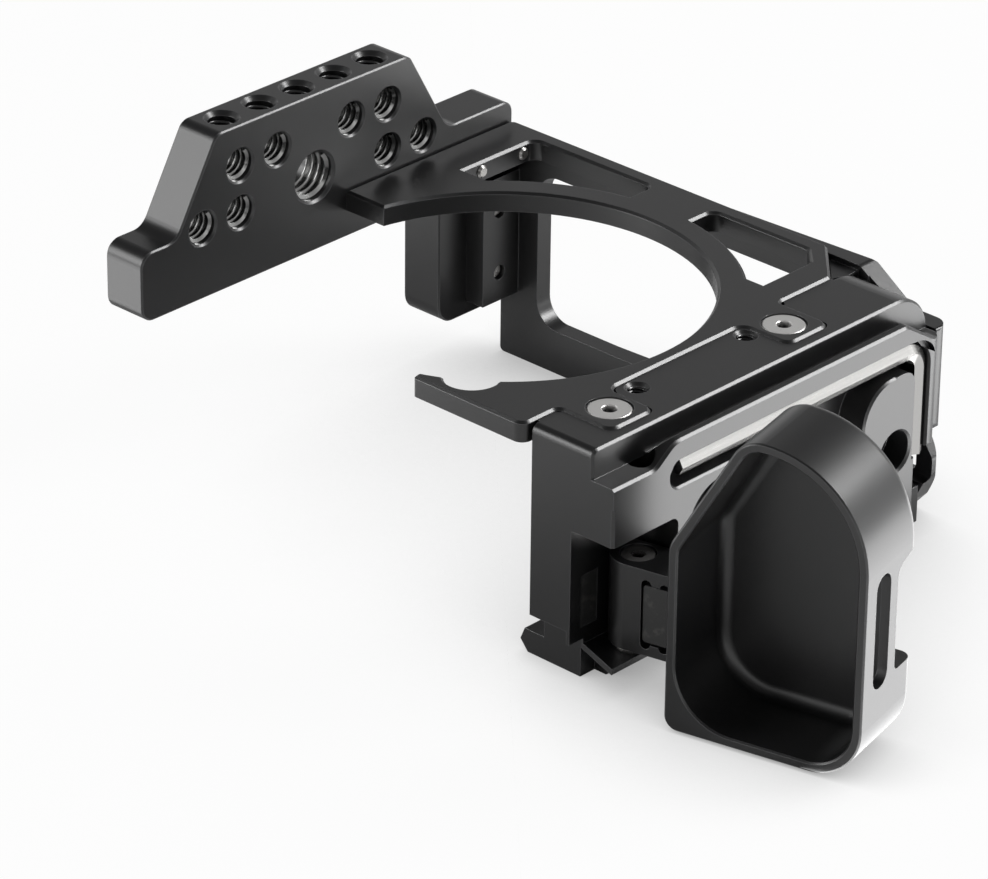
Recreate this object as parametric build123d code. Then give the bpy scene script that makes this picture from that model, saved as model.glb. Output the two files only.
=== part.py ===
from build123d import *
from math import cos, pi, radians, sin, sqrt, tan
import os

# Camera half cage, lying on its back.
# Millimetres. +Z is the way the lens looks, +Y is the top of the camera and
# +X points away from the camera's hand grip. The origin is on the lens axis,
# in the plane of the rear faces that the cage rests on.

# ---- heights along the lens axis ----
RING_FRONT = 48.0          # front face of the front ring
RING_THICK = 4.0
RING_BACK = RING_FRONT - RING_THICK
LAND_DROP = 0.4            # the base's front land sits this far behind the ring
LAND = RING_FRONT - LAND_DROP
EDGE = 0.5                 # bright machined edge break
TOP_EDGE = 0.3             # finer break round the fin's lower face

# ---- top plate ----
TOP_LOW = 47.5             # face on the front ring
TOP_THICK = 9.5
TOP_HIGH = TOP_LOW + TOP_THICK
PITCH = 9.525              # 3/8 inch grid of the holes
FIN_FRONT = RING_FRONT + 22.0
FIN_HALF = 2 * PITCH + 5.85     # half width of the fin's front edge
FIN_FOOT = 3 * PITCH + 6.625    # half width of the fin where it meets the shoulders
SHOULDER = RING_FRONT + 4.2
TOP_LEFT = -(FIN_FOOT + 8.8)
TOP_RIGHT = 53.0
TOP_BAR_BACK = 38.5        # rear edge of the bar over the grip side
ARM_BACK = 11.0            # rear end of the arm over the far side
ARM_LEFT = 33.0

# ---- threaded holes ----
QUARTER_R = 2.6            # wall radius inside a 1/4-20 insert
QUARTER_OUT = 3.2
QUARTER_MOUTH = 3.6
THREE_R = 4.1              # wall radius inside a 3/8-16 insert
THREE_OUT = 4.8
THREE_MOUTH = 5.3
INSERT_SET = 0.6           # inserts sit below the faces
ROW_ONE = RING_FRONT + 14.0
ROW_TWO = RING_FRONT + 4.6
THREE_Z = RING_FRONT + 5.4
EDGE_HOLE_DEEP = 4.2
EDGE_HOLE_Y = TOP_LOW + TOP_THICK / 2

# ---- front ring ----
RING_X = 53.0
MOUTH_R = 38.5             # opening round the lens mount
BAND_R = 44.0              # outer side of the band between opening and windows
RING_LOW = -40.15
RING_STEP = -41.45
EAR_MID = 0.25             # the ears stand this far off the lens axis
EAR_IN = 17.45             # inner and outer sides, from the middle
EAR_OUT = 28.8
EAR_LOW = -52.4
EAR_R = 2.2
EAR_GAP = 0.1
RING_LEFT = -37.5
RELIEF_R = 4.9             # room for the lens release button
WIN_OUT = 49.5
WIN_R = 2.0

# ---- base plate ----
BASE_TOP = -41.0           # the camera's underside
BASE_SHOULDER = -55.0
BASE_LOW = -60.0
BASE_LEFT = -36.0
BASE_RIGHT = 53.4
BASE_CORNER = 9.0
TAIL_FRONT = 45.5          # widest edges of the dovetail
TAIL_BACK = 6.5
TAIL_FLAT = 1.5
TAIL_END = 45.3            # far end of the dovetail behind the key slot
TAIL_RISE = 3.0
LEDGE = 42.0               # front of the hinge ear
LIP_TIP = -35.4            # upper edge of the rear lip
LIP_FRONT = 4.5
LOW_LEFT = -32.2           # grip-side end of the lip and of the plate behind it
EAR_SKIN = 5.8             # rear face of the lower ear's thin end
EAR_BACK = -49.7
M4_MID = 1.25
M4_HALF = 14.25
M4_Y = -44.3
M4_R = 1.7
M4_MOUTH = 0.6
M4_DEEP = 12.0
BASE_THREE_X = 39.5
BASE_THREE_Z = 21.0
BASE_THREE_DEEP = 14.0

# ---- hex key, lying with one edge out ----
KEY_AF = 3.0
KEY_R = KEY_AF / sqrt(3)   # from its axis to an edge
KEY_SET = 0.17             # the outer edge lies this far below the face
KEY_Y = BASE_LOW + KEY_SET + KEY_R
KEY_Z = 39.4
KEY_X0 = -18.2
KEY_X1 = 46.7
KEY_BEND = 4.0
KEY_LOW = 18.0
KEY_GAP = 0.3

# ---- recess and key slot in the underside ----
RECESS_DEEP = 6.0
RECESS_X0 = -16.5
RECESS_X1 = 30.3
RECESS_Z0 = 11.0
RECESS_Z1 = 34.2
SLOT_Z0 = KEY_Z - KEY_AF / 2 - 1.6
SLOT_Z1 = KEY_Z + KEY_AF / 2 + 0.8
SLOT_X0 = -21.3
SLOT_DEEP = 4.5
SLOT_DROP_X0 = KEY_X1 - KEY_AF / 2 - 1.0
SLOT_DROP_X1 = KEY_X1 + KEY_AF / 2 + KEY_GAP
SLOT_CORNER = 6.0
SLOT_DROP_Z = 18.9
LIP = 0.4                  # edge break of the slot and the dovetail

# ---- hinge ----
PIVOT_X = -24.8
PIVOT_Y = -56.0
HUB_R = 5.0
HUB_GAP = 0.6              # room round the hub in its recess
RECESS_LOW = 7.0           # top of the lower ear
RECESS_HIGH = 30.6         # underside of the upper ear
ACCESS_R = 2.5             # way for the key to the hinge screw
PIN_R = 2.0                # shoulder of the hinge screw
PIN_GAP = 0.05             # running clearance, on the radius
PIN_THREAD_R = 1.5
PIN_HEAD_R = 3.0
PIN_HEAD_H = 3.0
WASHER_T = 0.4
ARM_LOW = 7.5
ARM_HIGH = 24.2
ARM_FRONT = 5.0            # arm faces, measured from the pivot
ARM_REAR = 4.0
SINK = 3.4                 # depth of the counterbore for the screw head

# ---- grip cup, measured from the pivot when it is shut ----
SWING = 103.0              # open angle
CUP_NEAR = 13.5
CUP_FAR = 51.0
CUP_LOW = 0.6
CUP_HIGH = 60.0
CUP_SLOPE_Z = 36.0
CUP_SLOPE_X = 27.1
CUP_RIM = 14.5
WALL = 1.8
RIM_BREAK = 0.3

# ---- side frame ----
SIDE_IN = 50.3
SIDE_TOP_OUT = 54.0
SIDE_LOW_OUT = 57.3
SIDE_FRONT = LAND - 1.1
SIDE_REAR = 0.0
FOOT_FRONT = 39.8
FOOT_LOW = -57.1
FOOT_REAR = 18.6
LUG_LOW = -56.4            # strap lug behind the foot
LUG_IN = 55.0
LUG_FLOOR = 7.8            # rear side of the pocket in the lug
EYE_Y0 = -52.6             # strap eyelet, from the pocket to the outside
EYE_Y1 = -47.0
EYE_Z0 = 8.4
EYE_Z1 = 15.4
PORT_Y0 = -30.0
PORT_Y1 = 38.0
PORT_Z0 = 9.0
PORT_Z1 = 41.0

# ---- screws, pins, magnets and pads ----
EAR_SCREW_X = 22.85
EAR_SCREW_Y = -46.6
EAR_HEAD_R = 4.0
EAR_HEAD_H = 2.3
EAR_SHANK_R = 2.0
HEAD_SINK = 0.15           # heads lie this far below the faces
HEAD_GAP = 0.25            # room round the heads
M3_R = 1.5
M3_HEAD_R = 2.9
M3_HEAD_H = 1.6
RING_SCREW_R = 1.25
RING_SCREW_HEAD_R = 2.4
RING_SCREW_HEAD_H = 1.3
RING_SCREWS = (14.0, 35.0, 46.3)
DOWEL_R = 1.25
DOWEL_X = 27.0
DOWEL_Y = -50.6
MAGNET_GAP = 0.3
PAD_SINK = 0.8
PAD_T = 1.0
CAMERA_SCREW_Z = 24.0
CAMERA_THREAD_R = 3.05
CAMERA_SHANK_R = 2.4
CAMERA_SHANK_END = -41.3   # where its thread starts
CAMERA_HEAD_R = 6.0


def outline(corners):
    """Flat face inside (a, b, radius) corners."""
    starts = []
    mids = []
    ends = []
    count = len(corners)
    for i in range(count):
        a, b, r = corners[i]
        here = Vector(a, b)
        if r == 0:
            starts.append(here)
            mids.append(here)
            ends.append(here)
            continue
        back = (Vector(*corners[i - 1][:2]) - here).normalized()
        on = (Vector(*corners[(i + 1) % count][:2]) - here).normalized()
        half = radians(back.get_angle(on)) / 2
        starts.append(here + back * (r / tan(half)))
        ends.append(here + on * (r / tan(half)))
        mids.append(here + (back + on).normalized() * (r / sin(half) - r))
    edges = []
    for i in range(count):
        if corners[i][2] > 0:
            edges.append(ThreePointArc(starts[i], mids[i], ends[i]))
        edges.append(Line(ends[i], starts[(i + 1) % count]))
    return Face(Wire(edges))


def sharp(points):
    return [(a, b, 0) for a, b in points]


def prism_x(corners, x0, x1):
    """(y, z, radius) outline carried along X."""
    return extrude(Plane.YZ.offset(x0) * outline(corners), x1 - x0, dir=(1, 0, 0))


def prism_y(corners, y0, y1):
    """(x, z, radius) outline carried along Y."""
    return extrude(Plane.XZ.offset(-y0) * outline(corners), y1 - y0, dir=(0, 1, 0))


def prism_z(corners, z0, z1):
    """(x, y, radius) outline carried along Z."""
    return extrude(Plane.XY.offset(z0) * outline(corners), z1 - z0, dir=(0, 0, 1))


def slab(x0, x1, y0, y1, z0, z1):
    return Pos((x0 + x1) / 2, (y0 + y1) / 2, (z0 + z1) / 2) * Box(x1 - x0, y1 - y0, z1 - z0)


def rod(direction, x, y, z, r, length, r_end=None):
    """Round rod or cone that starts at a point and runs one way."""
    place = Plane((x, y, z), z_dir=direction)
    if r_end is None:
        return place * Pos(0, 0, length / 2) * Cylinder(r, length)
    return place * Pos(0, 0, length / 2) * Cone(r, r_end, length)


def tube(direction, x, y, z, r_out, r_in, length):
    return rod(direction, x, y, z, r_out, length) - rod(direction, x, y, z, r_in, length)


def mouth(direction, x, y, z, r_out, r_in):
    """45 degree entry of a hole."""
    return rod(direction, x, y, z, r_out, r_out - r_in, r_in)


def hex_rod(direction, x, y, z, across, length):
    face = RegularPolygon(across / sqrt(3), 6)
    return extrude(Plane((x, y, z), z_dir=direction) * face, length, dir=direction)


def flat_screw(direction, x, y, z, head_r, head_h, shank_r, length, drive):
    """Countersunk screw with a hexagon socket, running along direction."""
    d = Vector(direction)
    rim = 0.35
    bevel = 0.06 * head_r
    screw = rod(direction, x, y, z, head_r - bevel, bevel, head_r)
    p = Vector(x, y, z) + d * bevel
    screw += rod(direction, p.X, p.Y, p.Z, head_r, rim - bevel)
    p = Vector(x, y, z) + d * rim
    screw += rod(direction, p.X, p.Y, p.Z, head_r, head_h - rim, shank_r)
    p = Vector(x, y, z) + d * head_h
    screw += rod(direction, p.X, p.Y, p.Z, shank_r, length - head_h - 0.4)
    p = Vector(x, y, z) + d * (length - 0.4)
    screw += rod(direction, p.X, p.Y, p.Z, shank_r, 0.4, shank_r - 0.35)
    screw -= rod(direction, x, y, z, drive / sqrt(3) + 0.05, 0.15, drive / sqrt(3) - 0.1)
    return screw - hex_rod(direction, x, y, z, drive, head_h * 0.72)


def flat_seat(direction, x, y, z, head_r, head_h, shank_r, length):
    """Material taken out for a countersunk screw; (x, y, z) is on the face."""
    d = Vector(direction)
    p = Vector(x, y, z) - d * 0.5
    seat = rod(direction, p.X, p.Y, p.Z, head_r + HEAD_GAP, 0.85 + HEAD_SINK)
    p = Vector(x, y, z) + d * (0.35 + HEAD_SINK)
    seat += rod(direction, p.X, p.Y, p.Z, head_r + 0.1, head_h - 0.35, shank_r)
    return seat + rod(direction, x, y, z, shank_r, length + HEAD_SINK)


UP = (0, 0, 1)
DOWN = (0, 0, -1)
TO_TOP = (0, 1, 0)
TO_BOTTOM = (0, -1, 0)
TO_GRIP = (-1, 0, 0)

# hole grid of the top plate: (x, z)
QUARTERS = [(s * k * PITCH, ROW_ONE) for s in (-1, 1) for k in (1, 2)]
QUARTERS += [(s * k * PITCH, ROW_TWO) for s in (-1, 1) for k in (2, 3)]
EDGE_XS = [k * PITCH for k in (-2, -1, 0, 1, 2)]
FRAME_SCREWS = (20.0, 33.0)      # heights of the screws into the side frame
FRAME_SCREW_X = 45.0
FOOT_SCREWS = (21.0, 33.0)
FOOT_SCREW_Y = -48.5


def make_top_plate():
    """Bar with the tall drilled fin in front of the viewfinder hump."""
    corners = [
        (-FIN_HALF, FIN_FRONT, 2.5),
        (FIN_HALF, FIN_FRONT, 2.5),
        (FIN_FOOT, SHOULDER, 4),
        (TOP_RIGHT, SHOULDER, 2.5),
        (TOP_RIGHT, ARM_BACK, 2.5),
        (ARM_LEFT, ARM_BACK, 4),
        (ARM_LEFT, TOP_BAR_BACK, 4),
        (TOP_LEFT, TOP_BAR_BACK, 3),
        (TOP_LEFT, SHOULDER, 3),
        (-FIN_FOOT, SHOULDER, 4),
    ]
    plate = prism_y(corners, TOP_LOW, TOP_HIGH)
    plate = chamfer(plate.faces().sort_by(Axis.Y)[-1].edges(), EDGE)
    plate = chamfer(plate.faces().sort_by(Axis.Y)[0].edges(), TOP_EDGE)
    for x, z in QUARTERS:
        plate -= rod(TO_TOP, x, TOP_LOW - 1, z, QUARTER_OUT, TOP_THICK + 2)
        plate -= mouth(TO_TOP, x, TOP_LOW, z, QUARTER_MOUTH, QUARTER_OUT)
        plate -= mouth(TO_BOTTOM, x, TOP_HIGH, z, QUARTER_MOUTH, QUARTER_OUT)
    plate -= rod(TO_TOP, 0, TOP_LOW - 1, THREE_Z, THREE_OUT, TOP_THICK + 2)
    plate -= mouth(TO_TOP, 0, TOP_LOW, THREE_Z, THREE_MOUTH, THREE_OUT)
    plate -= mouth(TO_BOTTOM, 0, TOP_HIGH, THREE_Z, THREE_MOUTH, THREE_OUT)
    for x in EDGE_XS:
        plate -= rod(DOWN, x, EDGE_HOLE_Y, FIN_FRONT, QUARTER_R, EDGE_HOLE_DEEP)
        plate -= mouth(DOWN, x, EDGE_HOLE_Y, FIN_FRONT, QUARTER_MOUTH - 0.2, QUARTER_R)
    for x in RING_SCREWS:
        plate -= flat_seat(TO_BOTTOM, x, TOP_HIGH, RING_BACK + RING_THICK / 2,
                           RING_SCREW_HEAD_R, RING_SCREW_HEAD_H, RING_SCREW_R, TOP_THICK + 1)
    for z in FRAME_SCREWS:
        plate -= flat_seat(TO_BOTTOM, FRAME_SCREW_X, TOP_HIGH, z,
                           M3_HEAD_R, M3_HEAD_H, M3_R, TOP_THICK + 1)
    return plate


def make_front_ring():
    """Flat ring round the lens mount, open on the grip side."""
    corners = [
        (8, TOP_LOW, 0),
        (RING_X, TOP_LOW, 1.5),
        (RING_X, -31.2, 1),
        (RING_X - 9.6, RING_LOW, 0.6),
        (EAR_MID + EAR_OUT, RING_LOW, 1.2),
        (EAR_MID + EAR_OUT, EAR_LOW, EAR_R),
        (EAR_MID + EAR_IN, EAR_LOW, EAR_R),
        (EAR_MID + EAR_IN, RING_STEP, EAR_R),
        (EAR_MID - EAR_IN, RING_STEP, EAR_R),
        (EAR_MID - EAR_IN, EAR_LOW, EAR_R),
        (EAR_MID - EAR_OUT, EAR_LOW, EAR_R),
        (EAR_MID - EAR_OUT, RING_LOW, 1.2),
        (RING_LEFT, RING_LOW, 2),
        (RING_LEFT, -14, 0.8),
        (0, -14, 0),
        (8, 10, 0),
    ]
    blank = prism_z(corners, RING_BACK, RING_FRONT)
    blank -= rod(UP, 0, 0, RING_BACK - 1, MOUTH_R, RING_THICK + 2)
    blank -= rod(UP, -30.6, -21.5, RING_BACK - 1, RELIEF_R, RING_THICK + 2)
    keep = rod(UP, 0, 0, RING_BACK - 2, BAND_R, RING_THICK + 4)
    upper = prism_z([
        (26, 38.5, 0),
        (WIN_OUT, 38.5, WIN_R),
        (WIN_OUT, 8.5, WIN_R),
        (38, 8.5, 0),
    ], RING_BACK - 1, RING_FRONT + 1)
    upper &= slab(30, 60, 0, 40, RING_BACK - 1, RING_FRONT + 1)
    lower = prism_z([
        (WIN_OUT, -6.5, WIN_R),
        (WIN_OUT, -29.6, 1.5),
        (45.6, -33.5, 1.5),
        (32.5, -33.5, 0),
        (32.5, -6.5, 0),
    ], RING_BACK - 1, RING_FRONT + 1)
    ring = blank - (upper - keep) - (lower - keep)
    ring = chamfer(ring.faces().sort_by(Axis.Z)[-1].edges(), EDGE)
    for s in (-1, 1):
        ring -= flat_seat(DOWN, EAR_MID + s * EAR_SCREW_X, EAR_SCREW_Y, RING_FRONT,
                          EAR_HEAD_R, EAR_HEAD_H, EAR_SHANK_R, RING_THICK + 1)
        ring -= rod(UP, EAR_MID + s * DOWEL_X, DOWEL_Y, RING_BACK - 0.1, DOWEL_R, 2.3)
    for x in RING_SCREWS:
        ring -= rod(TO_BOTTOM, x, TOP_LOW + 1, RING_BACK + RING_THICK / 2,
                    RING_SCREW_R, TOP_LOW + 1 - 38.0 if x > 30 else TOP_LOW + 1 - 39.2)
    return ring


def make_base_plate():
    """Base with the dovetail, key slot, recess and hinge ears."""
    plate = prism_y([
        (BASE_LEFT, 0, 0),
        (BASE_RIGHT, 0, 0),
        (BASE_RIGHT, LAND, BASE_CORNER),
        (BASE_LEFT, LAND, 1.5),
    ], BASE_SHOULDER, BASE_TOP)
    front = plate.edges().filter_by_position(Axis.Y, BASE_SHOULDER - 0.01, BASE_SHOULDER + 0.01)
    front = [e for e in front if e.center().Z > LAND / 2 and e.center().X > BASE_LEFT + 1]
    plate = chamfer(front, 0.45)

    tail = prism_x(sharp([
        (BASE_SHOULDER + 1, TAIL_BACK + TAIL_RISE),
        (BASE_SHOULDER - 0.5, TAIL_BACK + TAIL_RISE),
        (BASE_LOW + TAIL_FLAT, TAIL_BACK),
        (BASE_LOW, TAIL_BACK),
        (BASE_LOW, TAIL_FRONT),
        (BASE_LOW + TAIL_FLAT, TAIL_FRONT),
        (BASE_SHOULDER - 0.5, TAIL_FRONT - TAIL_RISE),
        (BASE_SHOULDER + 1, TAIL_FRONT - TAIL_RISE),
    ]), BASE_LEFT, BASE_RIGHT)
    plan = prism_y([
        (-20.5, TAIL_FRONT, 5),
        (41.7, TAIL_FRONT, 2),
        (50.7, FOOT_FRONT, 2),
        (BASE_RIGHT - 0.2, FOOT_FRONT, 0.9),
        (BASE_RIGHT - 0.2, SLOT_DROP_Z, 1),
        (TAIL_END, SLOT_DROP_Z, 0.8),
        (TAIL_END, TAIL_BACK, 1.5),
        (BASE_LEFT, TAIL_BACK, 1),
        (BASE_LEFT, LEDGE, 1.5),
        (-25.4, LEDGE, 3),
    ], BASE_LOW, BASE_SHOULDER + 2)
    tail &= chamfer(plan.faces().sort_by(Axis.Y)[0].edges(), EDGE)
    tail -= slab(46, 60, BASE_LOW - 1, -54.2, 0, 60) - prism_z([
        (40, -60, 0),
        (BASE_RIGHT - 0.2, BASE_LOW, 5),
        (BASE_RIGHT - 0.2, -50, 0),
        (40, -50, 0),
    ], -1, 61)
    plate += tail

    # solid block behind the hinge ears
    plate += prism_x(sharp([
        (BASE_LOW, EAR_SKIN),
        (BASE_LOW, 9.6),
        (BASE_SHOULDER + 0.5, 9.6),
        (BASE_SHOULDER + 0.5, 0.0),
        (BASE_SHOULDER - 1.0, 0.0),
    ]), BASE_LEFT, -12)
    plate += prism_x(sharp([
        (BASE_LOW, 38),
        (BASE_LOW, LEDGE - EDGE),
        (BASE_LOW + EDGE, LEDGE),
        (BASE_SHOULDER + 0.5, LEDGE),
        (BASE_SHOULDER + 0.5, 38),
    ]), BASE_LEFT, -24)

    # the lower ear thins out towards the grip, and its rear slopes
    plate -= slab(BASE_LEFT - 1, LOW_LEFT, EAR_BACK, BASE_TOP + 1, -1, 10.5)
    plate -= slab(BASE_LEFT - 1, -28.5, BASE_LOW - 1, EAR_BACK, -1, EAR_SKIN)
    plate -= prism_x(sharp([
        (BASE_LOW - 1, EAR_SKIN),
        (BASE_LOW, EAR_SKIN),
        (-52.4, 0),
        (-52.4, -1),
        (BASE_LOW - 1, -1),
    ]), BASE_LEFT - 1, -12)
    plate -= prism_z(sharp([
        (BASE_LEFT - 1, BASE_LOW - 1),
        (BASE_LEFT + 0.1, BASE_LOW - 1),
        (LOW_LEFT, EAR_BACK),
        (BASE_LEFT - 1, EAR_BACK),
    ]), -1, RECESS_LOW + 1)

    # lip behind the camera
    plate += prism_x(sharp([
        (-48, 0),
        (LIP_TIP - 1.8, 0),
        (LIP_TIP, 2.1),
        (LIP_TIP - 1.0, LIP_FRONT),
        (BASE_TOP - 0.5, LIP_FRONT),
        (-48, LIP_FRONT),
    ]), LOW_LEFT, SIDE_IN)

    # the front edge stands up to the ring on both sides of its ears
    plate += slab(EAR_MID + EAR_OUT - 1, RING_X - 9.6, BASE_TOP - 1, RING_LOW - EAR_GAP,
                  RING_BACK, LAND)
    plate += slab(BASE_LEFT + 2, EAR_MID - EAR_OUT + 1, BASE_TOP - 1, RING_LOW - EAR_GAP,
                  RING_BACK, LAND)

    # seat for the ring's ears
    plate -= prism_z([
        (EAR_MID - EAR_OUT - EAR_GAP, RING_LOW + 5, 0),
        (EAR_MID - EAR_OUT - EAR_GAP, EAR_LOW - EAR_GAP, EAR_R - 0.4),
        (EAR_MID - EAR_IN + EAR_GAP, EAR_LOW - EAR_GAP, EAR_R - 0.4),
        (EAR_MID - EAR_IN + EAR_GAP, RING_STEP - EAR_GAP, EAR_R + 0.3),
        (EAR_MID + EAR_IN - EAR_GAP, RING_STEP - EAR_GAP, EAR_R + 0.3),
        (EAR_MID + EAR_IN - EAR_GAP, EAR_LOW - EAR_GAP, EAR_R - 0.4),
        (EAR_MID + EAR_OUT + EAR_GAP, EAR_LOW - EAR_GAP, EAR_R - 0.4),
        (EAR_MID + EAR_OUT + EAR_GAP, RING_LOW + 5, 0),
    ], RING_BACK, RING_FRONT + 1)
    for s in (-1, 1):
        plate -= rod(UP, EAR_MID + s * (EAR_OUT + EAR_GAP), RING_LOW - EAR_GAP, RING_BACK, 1.0, 5)
        plate -= rod(DOWN, EAR_MID + s * EAR_SCREW_X, EAR_SCREW_Y, RING_BACK + 1, EAR_SHANK_R, 12)
        plate -= rod(DOWN, EAR_MID + s * DOWEL_X, DOWEL_Y, RING_BACK + 1, DOWEL_R, 7.2)
        plate -= rod(DOWN, M4_MID + s * M4_HALF, M4_Y, LAND, M4_R, M4_DEEP)
        plate -= mouth(DOWN, M4_MID + s * M4_HALF, M4_Y, LAND, M4_R + M4_MOUTH, M4_R)

    # recess and key slot
    recess = prism_y([
        (RECESS_X0, RECESS_Z0, 8),
        (RECESS_X1, RECESS_Z0, 8),
        (RECESS_X1, RECESS_Z1 + 3, 0),
        (8, RECESS_Z1 + 3, 0),
        (8, RECESS_Z1, 0),
        (RECESS_X0, RECESS_Z1, 8),
    ], BASE_LOW - 1, BASE_LOW + RECESS_DEEP)
    recess = recess & slab(RECESS_X0, RECESS_X1, BASE_LOW - 1, BASE_LOW + 9, RECESS_Z0, SLOT_Z0 + 1)
    plate -= recess
    # edge breaks of the slot's rear lip and of the round boss
    flare = prism_y([
        (SLOT_X0 - LIP, SLOT_Z0 - LIP, 2.2 + LIP),
        (SLOT_DROP_X0 - 5, SLOT_Z0 - LIP, 0),
        (SLOT_DROP_X0 - 5, SLOT_Z1 - 1, 0),
        (SLOT_X0 - LIP, SLOT_Z1 - 1, 1.6),
    ], BASE_LOW - 1, BASE_LOW + LIP)
    plate -= chamfer(flare.faces().sort_by(Axis.Y)[-1].edges(), LIP)
    plate -= slab(RECESS_X1 - 1, RECESS_X1 + 8, BASE_LOW - 1, BASE_LOW + LIP,
                  SLOT_Z0 - 8, SLOT_Z0 + 1) - rod(TO_TOP, RECESS_X1 + 8, BASE_LOW, SLOT_Z0 - 8,
                                                  8 - LIP, LIP, 8)
    plate -= prism_y([
        (SLOT_X0, SLOT_Z0, 2.2),
        (SLOT_DROP_X0, SLOT_Z0, 3),
        (SLOT_DROP_X0, SLOT_DROP_Z - 1, 0),
        (SLOT_DROP_X1, SLOT_DROP_Z - 1, 0),
        (SLOT_DROP_X1, SLOT_Z1, SLOT_CORNER),
        (SLOT_X0, SLOT_Z1, 2.2),
    ], BASE_LOW - 1, BASE_LOW + SLOT_DEEP)
    plate -= slab(RECESS_X1 - 1, RECESS_X1 + 8, BASE_LOW - 1, BASE_LOW + RECESS_DEEP,
                  SLOT_Z0 - 8, SLOT_Z0 + 1) - rod(TO_TOP, RECESS_X1 + 8, BASE_LOW - 2,
                                                  SLOT_Z0 - 8, 8, 9)
    nick = rod(TO_TOP, 43.9, BASE_LOW - 1, 35.0, 6.6, 2.6)
    plate -= nick & prism_y(sharp([
        (42.6, 41.95),
        (50.5, 37.15),
        (53, 44),
        (46, 46),
    ]), BASE_LOW - 1, BASE_LOW + 2)
    plate -= rod(TO_TOP, BASE_THREE_X, BASE_LOW - 1, BASE_THREE_Z, THREE_R, BASE_THREE_DEEP + 1)
    plate -= mouth(TO_TOP, BASE_THREE_X, BASE_LOW, BASE_THREE_Z, THREE_R + 0.45, THREE_R)

    # way for a strap behind the side frame's eyelet
    plate -= slab(46, BASE_RIGHT + 1, BASE_SHOULDER - 2, EYE_Y1 + 0.6, LUG_FLOOR - 0.4, EYE_Z1 + 0.6)

    # captive camera screw
    plate -= rod(TO_TOP, 0, BASE_LOW, CAMERA_SCREW_Z, CAMERA_THREAD_R + 0.35, 30)
    plate -= rod(TO_BOTTOM, 0, BASE_TOP + 1, CAMERA_SCREW_Z, 5.2, 2.6)

    # hinge recess
    well = rod(UP, PIVOT_X, PIVOT_Y, RECESS_LOW, HUB_R + HUB_GAP, RECESS_HIGH - RECESS_LOW)
    well += slab(BASE_LEFT - 2, PIVOT_X, BASE_LOW - 1, PIVOT_Y + HUB_R + HUB_GAP,
                 RECESS_LOW, RECESS_HIGH)
    well += prism_y([
        (PIVOT_X - 1, RECESS_LOW, 0),
        (PIVOT_X + HUB_R + HUB_GAP, RECESS_LOW, 1.2),
        (PIVOT_X + HUB_R + HUB_GAP, RECESS_HIGH, 1.6),
        (PIVOT_X - 1, RECESS_HIGH, 0),
    ], BASE_LOW - 1, PIVOT_Y)
    plate -= well
    access = rod(UP, PIVOT_X, PIVOT_Y, RECESS_HIGH - 1, ACCESS_R, TAIL_FRONT - RECESS_HIGH + 2)
    plate -= access - slab(-40, 0, BASE_SHOULDER, -50, LEDGE, LAND)
    plate -= rod(DOWN, PIVOT_X, PIVOT_Y, RECESS_LOW + 1, PIN_THREAD_R, 7)
    plate -= KEEPER
    for x in KEY_MAGNETS:
        plate -= rod(TO_TOP, x, BASE_LOW, KEY_Z, 2.0, 6.4)

    # screws from the side frame, pad beds
    for z in FOOT_SCREWS:
        plate -= rod(TO_GRIP, BASE_RIGHT + 1, FOOT_SCREW_Y, z, M3_R, 10)
    plate -= BASE_PAD_BED
    plate -= REAR_PAD_BED
    return plate


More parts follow.
